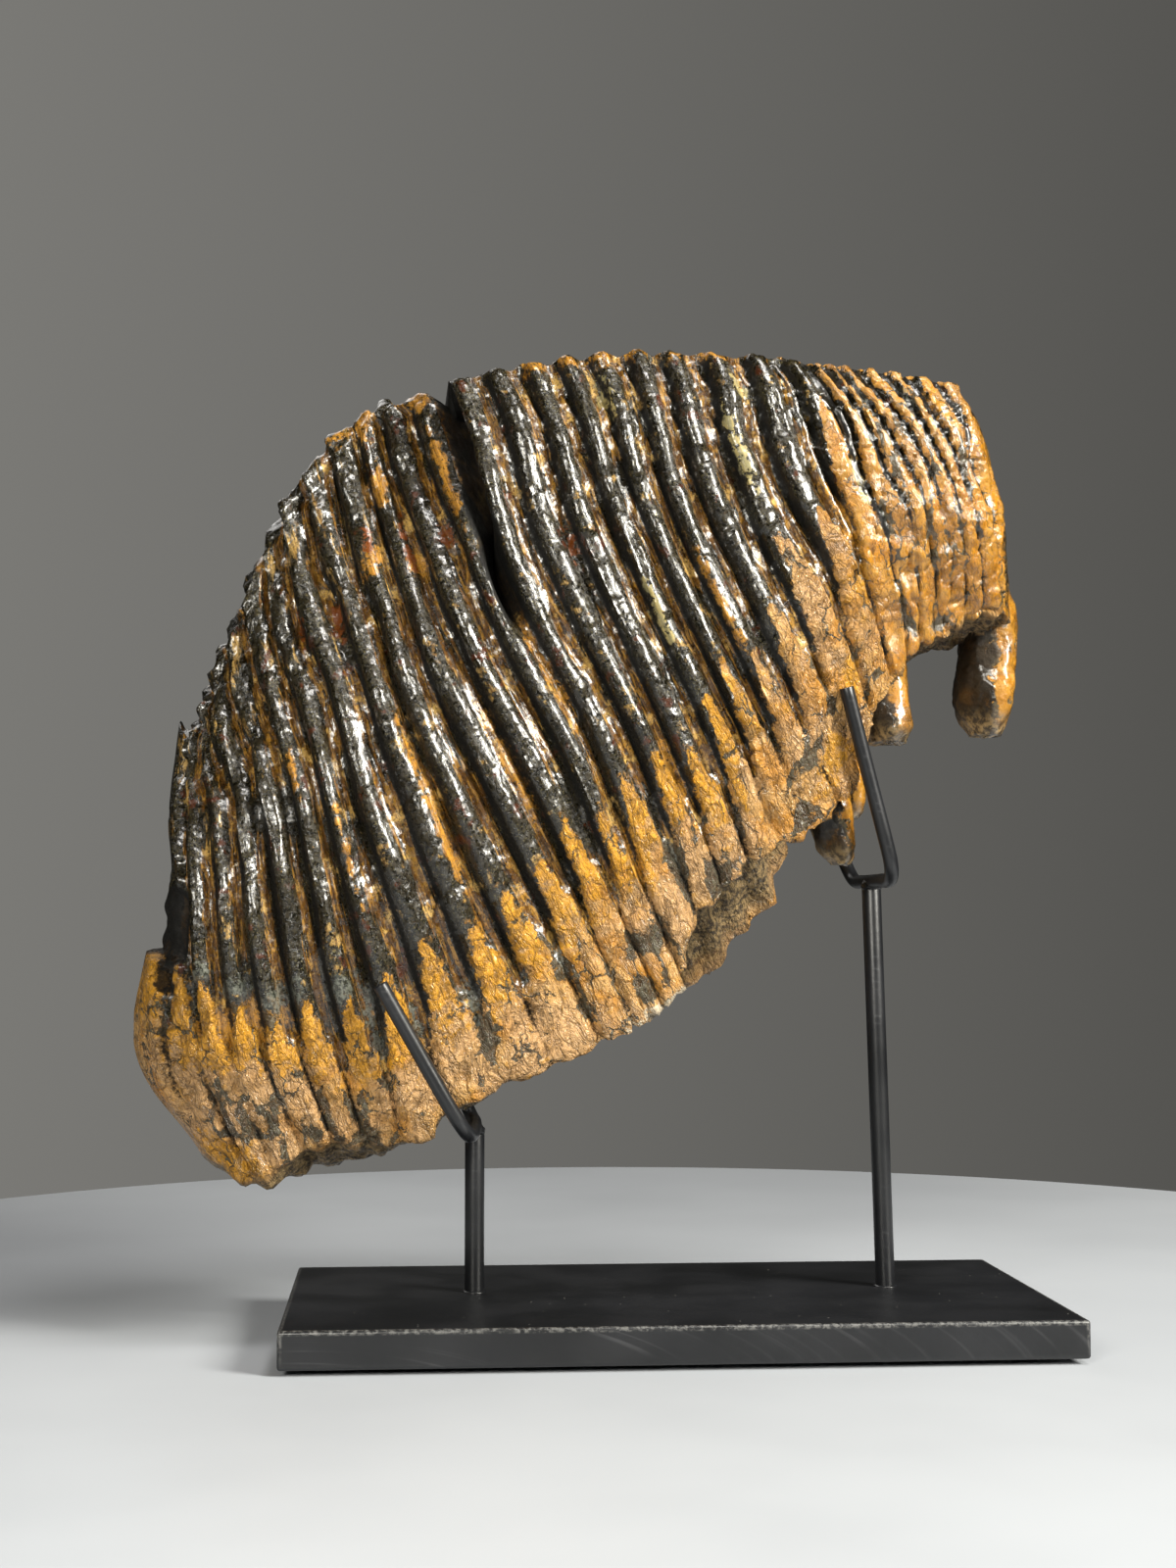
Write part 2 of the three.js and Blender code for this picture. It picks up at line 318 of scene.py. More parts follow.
def base_plate():
    """A flat bar of steel: a box with its corners and rims eased, and fine rows of faces near the rims."""
    nothing_selected()
    bpy.ops.mesh.primitive_cube_add(size=1, location=BASE_MIDDLE)
    plate = bpy.context.object
    plate.scale = BASE_SIZE
    place_in_mesh(plate)
    ease_edges(plate, 0.9, 5)
    pick_faces(plate, lambda normal: max(abs(normal.x), abs(normal.y), abs(normal.z)) > 0.999)
    bpy.ops.mesh.inset(thickness=0.5 * MM, use_individual=True)
    mode("OBJECT")
    smooth_shaded(plate)
    mark_edge_wear(plate)
    return plate


def mark_edge_wear(plate):
    """Marks the eased rims and corners of the plate's upper half as worn."""
    wear = plate.data.attributes.new("edge_wear", "FLOAT_VECTOR", "POINT")
    rim = BASE_SIZE / 2 - Vector((0.95, 0.95, 0.95)) * MM
    for vertex, mark in zip(plate.data.vertices, wear.data):
        from_middle = vertex.co - BASE_MIDDLE
        on_rims = sum(abs(from_middle[axis]) > rim[axis] for axis in range(3))
        mark.vector = (1.0 if on_rims >= 2 and from_middle.z > 0 else 0, 0, 0)


def foot_pad(corner):
    low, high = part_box(f"foot_{corner}")
    pad = cylinder((low + high) / 2, (high.x - low.x) / 2, high.z - low.z)
    ease_edges(pad, 0.3, 3)
    smooth_shaded(pad)
    finished(pad, f"pad_{corner}", RUBBER, f"foot_{corner}")


# centre line of each bent rod, in millimetres from the base's middle
CRADLE_LINES = {
    "left": [
        (-79.7, -38.5, 98.3), (-69, -36, 79.4), (-60.4, -33.8, 64.4), (-57.2, -31.6, 59.5),
        (-55.6, -26.5, 57.7), (-54.2, -10, 57.7), (-53.5, 4, 57.7), (-53.2, 20, 57.7), (-53.6, 32, 58),
        (-55.2, 37.4, 61.2), (-58.5, 39.6, 68), (-66.5, 42.2, 84)],
    "right": [
        (46.9, -29.6, 179), (53, -27.4, 156.5), (59.4, -24.8, 133.4), (60.4, -23, 129.2),
        (60.8, -18.8, 126.8), (60.7, -8, 126.7), (60.5, 5, 126.7), (60.4, 18, 126.9), (60.1, 27.6, 127.6),
        (59, 32, 131), (56.6, 34.2, 138), (49.5, 37.4, 160)],
}
ROD_RADIUS = 2.0
POST_RADIUS = 2.75


def bent_rod(side):
    """A round rod along its centre line: a curve with a round bevel, made a mesh, its cut ends eased."""
    nothing_selected()
    curve = bpy.data.curves.new(f"rod_{side}", "CURVE")
    curve.dimensions = "3D"
    curve.bevel_depth = ROD_RADIUS * MM
    curve.bevel_resolution = 10
    curve.resolution_u = 8
    curve.use_fill_caps = True
    points = [from_base(*p) for p in CRADLE_LINES[side]]
    spline = curve.splines.new("BEZIER")
    spline.bezier_points.add(len(points) - 1)
    for i, (knot, point) in enumerate(zip(spline.bezier_points, points)):
        before, after = points[max(i - 1, 0)], points[min(i + 1, len(points) - 1)]
        along = (after - before).normalized()
        knot.co = point
        knot.handle_left = point - along * (point - before).length / 3
        knot.handle_right = point + along * (after - point).length / 3
    rod = bpy.data.objects.new(f"rod_{side}", curve)
    bpy.context.collection.objects.link(rod)
    only(rod)
    bpy.ops.object.convert(target="MESH")
    rod = bpy.context.object
    turn_faces_outwards(rod, join_within=0.00001)
    ease_edges(rod, 0.2, 2, sharper_than=50)
    smooth_shaded(rod)
    return rod


def weld_bead(name, joint, lift, across, height):
    """The bead that joins a rod to its post: a ball drawn down over the post's top, with puddled ripples."""
    nothing_selected()
    bpy.ops.mesh.primitive_uv_sphere_add(segments=40, ring_count=24, radius=1, location=(0, 0, 0))
    bead = bpy.context.object
    mode("EDIT")
    bpy.ops.mesh.select_all(action="SELECT")
    bpy.ops.transform.resize(value=(across * MM, across * 1.12 * MM, height * MM))
    mode("OBJECT")
    for vertex in bead.data.vertices:
        here = vertex.co / MM
        ripple = 0.16 * math.sin(4.2 * here.z + 1.3 * here.y) + 0.3 * noise.noise(here * 0.9)
        vertex.co += vertex.normal * ripple * 0.6 * MM
    bead.location = joint + Vector((0, 0, lift * MM))
    place_in_mesh(bead)
    smooth_shaded(bead, 60)
    finished(bead, name, STEEL)


def build_stand():
    finished(base_plate(), "plate", STEEL, "base_plate")
    for corner in ("front_left", "front_right", "back_left", "back_right"):
        foot_pad(corner)
    for side in ("left", "right"):
        finished(bent_rod(side), f"rod_{side}", STEEL, f"cradle_{side}")
        low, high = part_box(f"post_{side}")
        # the post leans within its box: its foot fills one end of the box and its top the other
        radius = POST_RADIUS * MM
        foot_x, top_x = low.x + radius, high.x - radius
        if side == "right":
            foot_x, top_x = high.x - radius, low.x + radius
        y = (low.y + high.y) / 2
        foot, top = Vector((foot_x, y, low.z)), Vector((top_x, y, high.z))
        finished(upright_rod(foot, top, radius), f"upright_{side}", STEEL, f"post_{side}")
        weld_bead(f"weld_{side}", top, lift=0.9, across=2.9, height=2.3)
        weld_bead(f"foot_weld_{side}", foot, lift=0.1, across=3.3, height=0.8)


# ---------------- the tooth's form
# Millimetres from the base's middle and the floor. u counts the plates from the lower left end to the
# upper right end, with a plate's middle at each whole number. v runs down a plate, from 0 at the crown to 1
# at the root edge.
TOOTH_MIDDLE = 4.0
HALF_WIDTH = 40.0
FIRST_PLATE, LAST_PLATE = -1, 29.0
# the plate number at some of the rows of points, which lie closer where the plates are narrow, at the right
ROWS = {0: FIRST_PLATE, 155: 20, 244: LAST_PLATE}
UNDER_STEPS, FACE_STEPS, TOP_STEPS = 34, 128, 24
HALF_RING = UNDER_STEPS + FACE_STEPS + TOP_STEPS
RING = 2 * HALF_RING
STATIONS = (0, 0.2, 0.4, 0.6, 0.8, 1)
GUIDES = {
    -1: [(-137, 169), (-139, 147), (-138, 126), (-144, 103), (-146, 79), (-131, 53)],
    1: [(-133, 167), (-134, 144), (-132, 121), (-131, 97), (-127, 73), (-115, 48)],
    3: [(-124, 190), (-119, 159), (-114, 132), (-110, 105), (-104, 77), (-94, 52)],
    6: [(-108, 228), (-103, 190), (-94, 156), (-85, 123), (-75, 90), (-67, 59)],
    9: [(-89, 251), (-80, 213), (-70, 180), (-56, 148), (-40, 117), (-24, 86)],
    12: [(-70, 260), (-58, 224), (-45, 193), (-28, 162), (-14, 130), (0, 99)],
    15: [(-42, 267), (-29, 238), (-17, 209), (-4, 180), (10, 151), (22, 122)],
    18: [(-13, 271), (-3, 245), (7, 219), (20, 193), (33, 168), (45, 144)],
    21: [(19, 271), (27, 254), (35, 235), (44, 217), (53, 199), (59, 180)],
    24: [(49, 268), (57, 254), (63, 239), (67, 224), (70, 208), (72, 193)],
    27: [(77.3, 265), (82, 252), (85, 238), (88, 225), (90.3, 211), (92, 198)],
    29: [(85, 266), (91, 255), (95, 242), (97.3, 229), (98.8, 215), (99.5, 203)],
}
PLATES = tuple(GUIDES)
# how much further than v = 1 the root edge reaches down on the front and on the back: plate number, share
FRONT_EDGE = {
    -1: 0, 0.2: 0.012, 1.5: 0.012, 2.3: -0.02, 4.2: -0.02, 5.3: 0.012, 6.1: 0, 7.2: -0.004, 8.4: 0.036,
    12: 0.036, 12.9: -0.03, 16: -0.03, 17.5: 0, 24.4: 0, 25.2: -0.035, 26.3: -0.06, 27: -0.055, 28: 0}
BACK_EDGE = {
    -1: 0, 4.8: 0, 6.4: 0.027, 7.6: 0.027, 8.6: 0.02, 11.8: 0.02, 13.2: 0.08, 16: 0.08, 17.5: 0, 24.4: 0,
    26.3: -0.06, 27: -0.055, 28: 0}


def by_plate(*values):
    """A table of values for the plates -1, 0, 1 and so on."""
    return dict(enumerate(values, -1))


def clamp(value, low=0.0, high=1.0):
    return np.clip(value, low, high)


def smooth(start, end, value):
    s = clamp((value - start) / (end - start))
    return s * s * (3 - 2 * s)


def hump(a, b, c, d, value):
    return smooth(a, b, value) * (1 - smooth(c, d, value))


def through(marks, values, at):
    """A smooth curve through values at uneven marks, read at each place in at and carried on straight beyond.

    values has one row for each mark, and either one column or a column for each place.
    """
    marks, values = np.asarray(marks, float), np.asarray(values, float)
    if values.ndim == 1:
        values = np.repeat(values[:, None], at.size, axis=1)
    column, last = np.arange(at.size), len(marks) - 1
    before = np.maximum(np.arange(last + 1) - 1, 0)
    after = np.minimum(np.arange(last + 1) + 1, last)
    slopes = (values[after] - values[before]) / (marks[after] - marks[before])[:, None]
    held = np.clip(at, marks[0], marks[-1])
    i = np.clip(np.searchsorted(marks, held, side="right") - 1, 0, last - 1)
    h = marks[i + 1] - marks[i]
    s = (held - marks[i]) / h
    a, b = values[i, column], values[i + 1, column]
    p, q = slopes[i, column] * h, slopes[i + 1, column] * h
    curve = (a * (1 + 2 * s) * (1 - s) ** 2 + p * s * (1 - s) ** 2
             + b * s * s * (3 - 2 * s) - q * s * s * (1 - s))
    return curve + np.where(at < held, slopes[0], slopes[-1]) * (at - held)


def table(marks, at):
    return through(tuple(marks), tuple(marks.values()), at)


def lumps(points, size, shift=0.0, octaves=1):
    """Smooth noise of about -1 to 1 whose lumps are size across."""
    scaled = (points / size + shift).tolist()
    if octaves == 1:
        return np.array([noise.noise(p) for p in scaled])
    return np.array([noise.fractal(p, 1, 2, octaves) for p in scaled])


def side_view(plate, v):
    """Where plate number u lies at v, seen from the side."""
    stepped = 0.11 * (1 - smooth(11, 13, plate)) * (1 - smooth(0.02, 0.3, v))
    u = plate - stepped * np.sin(2 * np.pi * plate)
    found = []
    for axis in (0, 1):
        rows = np.array([through(STATIONS, [p[axis] for p in guide], v) for guide in GUIDES.values()])
        found.append(through(PLATES, rows, u))
    return found


def half_width(u, v):
    left_end, right_end = clamp((3.2 - u) / 4.2), clamp((u - 25) / 4)
    ends = np.maximum((1 - left_end ** 2.4) ** 0.5 * (1 - right_end ** 2.2) ** 0.5, 0.07)
    unworn = 1 - smooth(10, 14, u)
    crown = 1 - (0.12 + 0.4 * unworn) * (1 - smooth(0, 0.15 + 0.3 * unworn, v))
    return HALF_WIDTH * ends * crown * (1 - 0.28 * smooth(0.55, 1, v))


UNDER, FACE, TOP = 0, 1, 2
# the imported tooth's corners in the same millimetres, drawn in by a hair
TOOTH_BOX = [np.array(corner - Vector((BASE_MIDDLE.x, BASE_MIDDLE.y, 0))) / MM + inward
             for corner, inward in zip(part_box("tooth"), (0.02, -0.02))]


def plain_body(u, k):
    """Points of the plain body at plates u and steps k round the ring, with v, the side and the part.

    The side is -1 on the front and 1 on the back, and the part is UNDER, FACE or TOP.
    """
    k = k % RING
    side = np.where(k <= HALF_RING, -1.0, 1.0)
    step = np.where(k <= HALF_RING, k, RING - k)
    held = np.minimum(u, 28)
    end = 1 + np.where(side < 0, table(FRONT_EDGE, held), table(BACK_EDGE, held))
    jagged = np.stack([u * 1.4, side * 3, np.zeros_like(u)], axis=1)
    end += (0.011 * lumps(jagged, 1, 5.5) + 0.007 * lumps(jagged, 0.4, 2.5)) * hump(4.5, 5.5, 24, 26, u)
    under_t = clamp(step / UNDER_STEPS)
    hollow = 0.09 * hump(7, 9.5, 17, 20, u) - 0.03 * (1 - smooth(4, 6, u))
    under_v = 1 + (end - 1) * under_t - hollow * (1 - under_t ** 3)
    face_v = end * (1 - clamp((step - UNDER_STEPS) / FACE_STEPS))
    top_t = clamp((HALF_RING - step) / TOP_STEPS)
    top_v = -(0.004 + 0.02 * (1 - smooth(10, 14, u))) * (1 - top_t ** 4)
    part = np.where(step < UNDER_STEPS, UNDER, np.where(step <= UNDER_STEPS + FACE_STEPS, FACE, TOP))
    v = np.choose(part, [under_v, face_v, top_v])
    width = half_width(u, np.choose(part, [np.ones_like(v), face_v, np.zeros_like(v)]))
    y = side * width * np.choose(part, [under_t, np.ones_like(v), top_t])
    x, z = side_view(u, v)
    return np.stack([x, TOOTH_MIDDLE + y, z], axis=1), v, side, part


# where each plate's middle runs down the front, counted as u above; further right every plate keeps its place
CRESTS = by_plate(
    -0.6, 0.7, 1.4, 2.15, 2.85, 3.8, 4.85, 5.85, 6.85, 7.8, 8.65, 9.65, 10.75, 11.85, 12.75, 13.8, 14.75,
    15.75, 16.75, 17.7, 18.65, 19.65, 20.8, 22, 23.1, 23.9, 24.6, 25.25, 25.9, 26.7, 27.8, 29)
# how far plates lean sideways near the crown, in plates: plate number, lean
CROWN_LEAN = {-1: 0, 2: -0.4, 7: -0.6, 9: -0.1, 12: -0.05, 13: 0.35, 19: 0.45, 21: 0.5, 23: 0.2, 29: 0}
# v at which each plate turns from black to orange, and v at which the dark vein beyond it closes
ORANGE_FROM = by_plate(
    0.545, 0.535, 0.575, 0.645, 0.685, 0.70, 0.735, 0.73, 0.725, 0.755, 0.745, 0.735, 0.69, 0.7, 0.68,
    0.67, 0.72, 0.66, 0.61, 0.63, 0.58, 0.48, 0.5, 0.2, -0.1) | {30: -0.1}
VEIN_TO = by_plate(
    0.7, 0.72, 0.76, 0.79, 0.80, 0.83, 0.9, 0.88, 0.9, 0.92, 0.92, 0.9, 0.87, 0.86, 0.88, 0.87, 0.895,
    0.88, 0.83, 0.85, 0.85, 0.8, 0.77, 0.71, 0.67, 0.62, 0.5, 0.56, 0.6, 0.5, 0.1, -0.1)
# marks on the front, each an oval: u and v of its middle, half its width in plates, half its height in v
DARK_MARKS = [
    (1.2, 0.84, 0.25, 0.05), (1.5, 0.9, 0.6, 0.03), (2.1, 0.93, 0.2, 0.06), (2.4, 0.865, 0.12, 0.015),
    (2.9, 0.95, 0.2, 0.05), (3.6, 0.93, 0.2, 0.05), (4.6, 0.975, 0.6, 0.025), (4.3, 0.92, 0.4, 0.03),
    (1.4, 0.565, 0.25, 0.02), (2.2, 0.63, 0.3, 0.025), (3, 0.68, 0.35, 0.025), (3.55, 0.68, 0.3, 0.02),
    (4.8, 0.715, 0.35, 0.02), (5.4, 0.8, 0.14, 0.08), (6.3, 0.84, 0.12, 0.06), (7.4, 0.88, 0.14, 0.06),
    (9.2, 0.92, 0.16, 0.06), (12, 0.92, 0.9, 0.025), (11.2, 0.98, 0.6, 0.02), (13.3, 0.86, 0.2, 0.06),
    (14.3, 0.93, 0.3, 0.04), (17.9, 0.87, 0.7, 0.016), (20.5, 0.94, 0.6, 0.015), (17.2, 0.95, 0.3, 0.03),
    (22.8, 0.6, 0.12, 0.1), (24.3, 0.62, 0.14, 0.12), (25.5, 0.6, 0.12, 0.1), (28.2, 0.8, 0.4, 0.2),
    (23.6, 0.3, 0.12, 0.2), (25, 0.22, 0.1, 0.16), (26.2, 0.35, 0.1, 0.14), (22.9, 0.93, 0.3, 0.04),
    (24.6, 0.95, 0.4, 0.03)]
GOLD_MARKS = [
    (-0.6, 0.62, 0.6, 0.08), (1.6, 0.72, 1.5, 0.06), (0.4, 0.98, 1, 0.05), (8.1, 0.6, 0.1, 0.15),
    (10.25, 0.58, 0.16, 0.1), (5.95, 0.52, 0.07, 0.1),
    (12.3, 0.48, 0.12, 0.09), (11.9, 0.12, 0.14, 0.08), (4.9, 0.35, 0.08, 0.05), (9.5, 0.09, 0.3, 0.03),
    (8.7, 0.19, 0.3, 0.02), (10.1, 0.23, 0.3, 0.02), (17.6, 0.52, 0.12, 0.1), (21.6, 0.55, 0.3, 0.1),
    (22.9, 0.75, 0.5, 0.06), (26, 0.14, 0.3, 0.07), (18.5, 0.92, 0.6, 0.04), (20, 0.85, 0.3, 0.05),
    (12.5, 0.8, 0.3, 0.05), (27.6, 0.5, 0.5, 0.3), (15.7, 0.82, 0.15, 0.05), (14.2, 0.75, 0.2, 0.06),
    (24, 0.8, 0.6, 0.05), (25.5, 0.72, 2, 0.2), (28, 0.3, 0.9, 0.3), (21.5, 0.72, 0.7, 0.08)]
RED_MARKS = [
    (11.25, 0.205, 0.12, 0.02), (7.3, 0.22, 0.14, 0.03), (6.2, 0.18, 0.14, 0.03), (8.7, 0.15, 0.14, 0.02),
    (9.95, 0.2, 0.1, 0.05), (14.25, 0.32, 0.08, 0.04), (0.2, 0.42, 0.2, 0.015), (13.3, 0.2, 0.06, 0.04)]
PALE_MARKS = [
    (15.7, 0.49, 0.16, 0.05), (19.7, 0.25, 0.14, 0.1), (16.8, 0.08, 0.2, 0.04), (20.4, 0.1, 0.2, 0.03),
    (22.4, 0.45, 0.12, 0.07), (11.5, 1.035, 1.5, 0.014), (14.3, 0.98, 1.4, 0.014)]
RIDGE_HEIGHT = 4.4     # of the plates above the gaps between them
# the deep crack: its u at some v, the v where it ends, its depth, and how far behind the middle it still cuts
CRACK, CRACK_END = {0: 12.62, 0.1: 12.56, 0.2: 12.42, 0.3: 12.3, 0.42: 12.2}, 0.42
CRACK_DEPTH, CRACK_BACK = 12, 18
# half the length, in v, over which a finger of orange turns to black
FRAY = 0.022


def marked(marks, u, v, side):
    """How far each place lies inside the marks, 0 to 1; the finish frays their outlines."""
    found = np.zeros_like(u)
    for mark_u, mark_v, half_u, half_v in marks:
        away = np.hypot((u - mark_u) / half_u, (v - mark_v) / half_v)
        found = np.maximum(found, 1 - smooth(0.3, 1.7, away))
    return found * (side < 0)


def crest_count(u, v, side):
    """u recounted so that each whole number is the middle of a plate as it really runs."""
    lean = table(CROWN_LEAN, u) * (1 - smooth(0, 0.3, v))
    lean = lean - 0.9 * hump(22, 24, 27, 29, u) * (1 - smooth(0, 0.6, v))
    at = u - lean
    recounted = through(tuple(CRESTS.values()), tuple(CRESTS), at)
    return np.where(side < 0, recounted, u)


def rounded_body(rows):
    """The plain body with its corners rounded: points, outward directions, and where each point lies."""
    u = np.repeat(np.interp(np.arange(rows), tuple(ROWS), tuple(ROWS.values())), RING)
    k = np.tile(np.arange(RING, dtype=float), rows)
    plain, v, side, part = plain_body(u, k)
    grid = plain.reshape(rows, RING, 3)
    for _ in range(2):
        grid = sum(np.roll(grid, step, axis=1) * (4 - abs(step)) for step in range(-3, 4)) / 16
    here = np.arange(rows)
    along = grid[np.minimum(here + 2, rows - 1)] - grid[np.maximum(here - 2, 0)]
    across = np.roll(grid, -4, axis=1) - np.roll(grid, 4, axis=1)
    out = np.cross(along, across)
    out /= np.linalg.norm(out, axis=2, keepdims=True) + 1e-9
    return grid.reshape(-1, 3), out.reshape(-1, 3), u, v, k, side, part


def rod_shape(w, half, power):
    """The rounded section of a rod of that half width, 1 on its middle line and 0 beside it."""
    return np.maximum(1 - (w / half) ** 2, 0) ** power


def tooth_surface():
    """The tooth's skin as rows of rings: points, and for each point what its finish needs to know."""
    rows = max(ROWS) + 1
    points, out, u, v, k, side, part = rounded_body(rows)
    on_face, on_top, on_under = part == FACE, part == TOP, part == UNDER

    # shares from 0 to 1: away from both ends, at the right end, in the unworn part, in the jumbled upper left
    ends = hump(FIRST_PLATE, FIRST_PLATE + 1.6, LAST_PLATE - 1.5, LAST_PLATE, u)
    right = smooth(20.5, 23, u)
    calm = 1 - 0.65 * right
    unworn = 1 - smooth(10.5, 13, u)
    jumbled = (1 - smooth(8, 12.3, u)) * (1 - smooth(0.22, 0.45, v)) * on_face

    # plates wander on their way down; the front's own course turns into the even one of the back over the top
    sheet = np.stack([u, 7 * v, 4 * side], axis=1)
    wander = (0.10 * lumps(sheet, 1.9, 3.1) + (0.05 + 0.12 * jumbled) * lumps(sheet, 0.8, 8.4)
              + 0.3 * smooth(20, 23, u) * lumps(sheet, 1.3, 14.2)) * ends
    turn = smooth(0, 1, clamp((points[:, 1] - TOOTH_MIDDLE) / 30 + 0.5))
    phase = crest_count(u, v, side) * (1 - turn) + u * turn + wander
    # the plate, how far from its middle in plates (0 to 0.5), and how far from one plate's middle to the next
    plate = np.round(phase)
    w = np.abs(phase - plate)
    f = phase - np.floor(phase)
    per_plate = np.stack([plate * 3.7, v * 11, side * 5], axis=1)
    strip = np.stack([np.floor(phase) * 4.1, v * 9, side * 7], axis=1)
    drawn = np.stack([phase * 3, v * 12, side * 3], axis=1)

    # fingers of orange climb each plate's middle, and dark veins run down between them
    start, vein = table(ORANGE_FROM, phase), table(VEIN_TO, np.floor(phase) + 0.5)
    skewed = w - 0.09 * np.sin(2 * np.pi * (phase - plate)) * (side < 0)
    finger = clamp((2 * skewed - 0.14) / 0.86) ** 1.2
    root = smooth(-FRAY, FRAY, v - start - (np.maximum(vein, start + 0.05) - start) * finger)
    root = np.where(on_under, 1.0, np.where(on_top, smooth(21.5, 23, u), root))

    # plates: round rods, uneven along their length, with a deep gap on their left and cement on their right
    half = 0.36 + 0.04 * lumps(per_plate, 1, 1.9) - 0.06 * right
    rod = rod_shape(w, half, 0.55) * (1 + 0.3 * lumps(per_plate, 1.3, 7.3))
    caked = lumps(strip, 1.1, 4.4)
    level = 0.18 + 0.16 * caked + 0.2 * hump(7.5, 8.5, 11, 12, u) * smooth(0.35, 0.6, v) + 0.4 * right
    cement = level * hump(0.34, 0.44, 0.58, 0.66, f)
    gap = -0.42 * hump(0.6, 0.68, 0.76, 0.84, f)
    plates = RIDGE_HEIGHT * (1 - 0.5 * right) * (np.maximum(rod, cement) + gap - 0.68)
    split = np.exp(-((phase - plate - 0.06) / 0.06) ** 2) * smooth(0.05, 0.4, lumps(per_plate, 1.7, 12.1))
    chip = smooth(0.33, 0.45, lumps(per_plate, 0.8, 33)) * (w < half)
    plates -= (1.1 * split + 1.0 * chip) * on_face

    # root zone: rough swellings, parted by creases and by blocks across the plates
    block = v * 15 + 0.37 * plate + 0.9 * lumps(per_plate, 2, 21)
    from_block = np.abs(block - np.round(block)) * 2
    narrow = 0.16 + 0.16 * lumps(strip, 3.2, 97)
    swell = 1 - smooth(0.36 - narrow * right * (1 - smooth(0.4, 0.7, v)), 0.5, w)
    lobed = right * smooth(0.35, 0.6, v)
    roots = 2.1 * (1 - 0.55 * lobed) * (swell - 0.7)
    roots -= 0.6 * smooth(0.82, 1, from_block) * swell * (1 - 0.8 * right)
    roots += 0.8 * lumps(points, 8, 5) + 0.5 * calm * lumps(points, 3.4, 9, 2)
    ribs = np.stack([phase * 2.6, v * 7, side * 3], axis=1)
    roots += 0.9 * calm * lumps(ribs, 1, 61, 2)
    roots += lobed * (1.7 * lumps(points, 6.5, 27) + 0.5 * lumps(points, 2.8, 37))
    roots -= 0.9 * (1 - smooth(0, 0.09, np.abs(lumps(points * [1, 1, 0.6], 7, 41))))

    # the chewing surface and the unworn tips: knobs on the left, worn loops on the right
    knobs = 2.6 * np.abs(lumps(points, 6.5, 2)) * 2 - 2.6
    loops = 1.1 * (rod_shape(w, 0.4, 0.4) - 0.6) - 0.5 * (1 - smooth(0.08, 0.2, w))
    tops = (knobs + 1.4 * (rod - 0.6)) * unworn + (loops + 0.7 * lumps(points, 4, 19)) * (1 - unworn)
    under = 1.3 * (1 - smooth(0.1, 0.42, w)) + 1.8 * lumps(points, 8, 14, 3) - 0.5

    relief = np.choose(part, [under, plates * (1 - root) + roots * root, tops]) * ends
    relief += unworn * (1 - smooth(0.02, 0.16, v)) * on_face * (knobs * 0.9) * ends
    relief += jumbled * ends * (0.8 * lumps(points, 6, 81) + 1.0 * lumps(drawn, 1.6, 81))
    fine = 0.12 * lumps(points, 2.2, 31) + 0.4 * lumps(drawn, 1, 31) + 0.45 * lumps(points, 7.5, 17)
    relief += fine * ends * calm
    # the thick rim of root curls round the lower left end, with a recessed pocket above it that the finish
    # paints black as shade
    relief += 2.0 * hump(0.56, 0.568, 0.85, 1, v) * (1 - smooth(-0.4, 0.6, u))
    relief -= 2.2 * hump(0.44, 0.53, 0.556, 0.562, v) * (1 - smooth(-0.4, 0.4, u))
    pocket = np.maximum(hump(-0.3, -0.1, 0.8, 1, u) * hump(0.35, 0.42, 0.53, 0.55, v),
                        hump(-0.3, -0.1, 0.25, 0.4, u) * hump(0.5, 0.53, 0.6, 0.64, v))
    relief -= 4.5 * pocket * (1 - on_under)
    left_end = hump(0.3, 0.4, 0.55, 0.56, v) * (1 - smooth(0.2, 0.8, u)) * on_face
    relief += 1.3 * lumps(points, 4.5, 111) * left_end
    from_crack = np.abs(u - table(CRACK, clamp(v, 0, CRACK_END)))
    in_crack = 1 - smooth(0.09, 0.27, from_crack)
    in_crack = in_crack * (1 - smooth(CRACK_END - 0.1, CRACK_END, v)) * (1 - on_under)
    relief -= CRACK_DEPTH * in_crack * (points[:, 1] < TOOTH_MIDDLE + CRACK_BACK)

    # what the finish needs: bare broken bone, gold tips, cement, and the near-black of gaps and hollows,
    # partly black filling and partly painted shade
    from_edge = clamp(np.minimum(k, RING - k) / UNDER_STEPS)
    broken = np.where(on_under, smooth(0.0, 0.2, 1 - from_edge), 0.0)
    tips = root * (1 - smooth(0.06, 0.2, v - start)) * (1 - smooth(16, 19, u)) * on_face
    rim = 0.9 * hump(7, 9, 21, 23, u) * (1 - smooth(0.005, 0.04, v)) * (1 - smooth(0.2, 0.4, w))
    tips = np.maximum(tips, rim * smooth(-0.4, 0.2, lumps(per_plate, 0.9, 91)))
    in_strip = hump(0.26, 0.4, 0.58, 0.66, f + 0.07 * lumps(strip, 1.5, 6.1)) * (1 - root)
    in_strip = in_strip * smooth(-0.7, 0, caked) * (1 - 0.9 * right)
    # hollow paints near black the gap left of each plate (partly black filling, partly painted shade), plus
    # painted shade in the right end's grooves and the furrows between fingers
    hollow = hump(0.62, 0.71, 0.77, 0.86, f) * (1 - root) * (1 - 0.5 * right) * (1 - 0.15 * jumbled)
    hollow = np.maximum(hollow, right * hump(0.36, 0.44, 0.56, 0.64, f) * (1 - root))
    furrow = smooth(0.36 + 0.02 * right, 0.48, w) * smooth(-0.45, 0.15, lumps(strip, 0.9, 51)) * root
    hollow = np.maximum(hollow, 0.85 * furrow * (1 - smooth(0.92, 1, v))) * on_face
